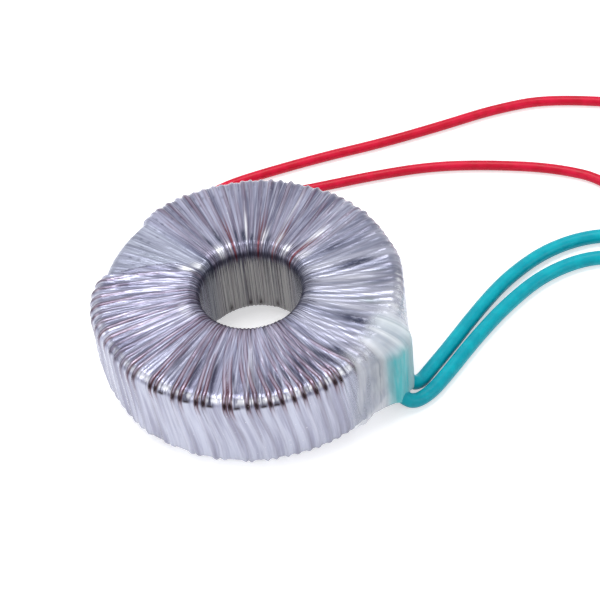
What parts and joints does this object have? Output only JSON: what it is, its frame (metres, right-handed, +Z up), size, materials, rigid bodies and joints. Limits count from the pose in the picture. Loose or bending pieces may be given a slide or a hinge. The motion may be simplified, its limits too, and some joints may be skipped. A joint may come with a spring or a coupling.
{
  "type": "toroidal transformer",
  "caption": "Small toroidal mains transformer: wound ring core under clear ridged film, with thick teal leads and thinner red leads that end in bare tinned wire.",
  "frame": {"origin": "on the ring's axis, on the plane of the bottom crests that it stands on", "axes": "+Z up along the ring's axis; +X towards the side where the leads run off; teal leads leave at about -33 degrees from +X, red leads at about 116 degrees"},
  "size_m": [0.1595, 0.1213, 0.025],
  "materials": {
    "core_steel": "satin",
    "cap_plastic": "matt",
    "insulating_tape": "satin",
    "enamelled_wire": "gloss",
    "clear_film": "gloss",
    "lead_tape": "gloss",
    "teal_insulation": "satin",
    "red_insulation": "satin",
    "tinned_copper": "satin",
    "joint_sleeve": "satin"
  },
  "bodies": {
    "root": {"core": "core_steel", "core_cap_top": "cap_plastic", "core_cap_bottom": "cap_plastic", "core_wrap": "insulating_tape", "primary_winding": "enamelled_wire", "interlayer_wrap": "insulating_tape", "secondary_winding": "enamelled_wire", "outer_wrap": "clear_film", "teal_lead_tape": "lead_tape", "red_lead_tape": "lead_tape", "teal_lead_a": "teal_insulation", "teal_lead_a_tip": "tinned_copper", "teal_lead_a_sleeve": "joint_sleeve", "teal_lead_b": "teal_insulation", "teal_lead_b_tip": "tinned_copper", "teal_lead_b_sleeve": "joint_sleeve", "red_lead_a": "red_insulation", "red_lead_a_tip": "tinned_copper", "red_lead_a_sleeve": "joint_sleeve", "red_lead_b": "red_insulation", "red_lead_b_tip": "tinned_copper", "red_lead_b_sleeve": "joint_sleeve"}
  },
  "joints": []
}
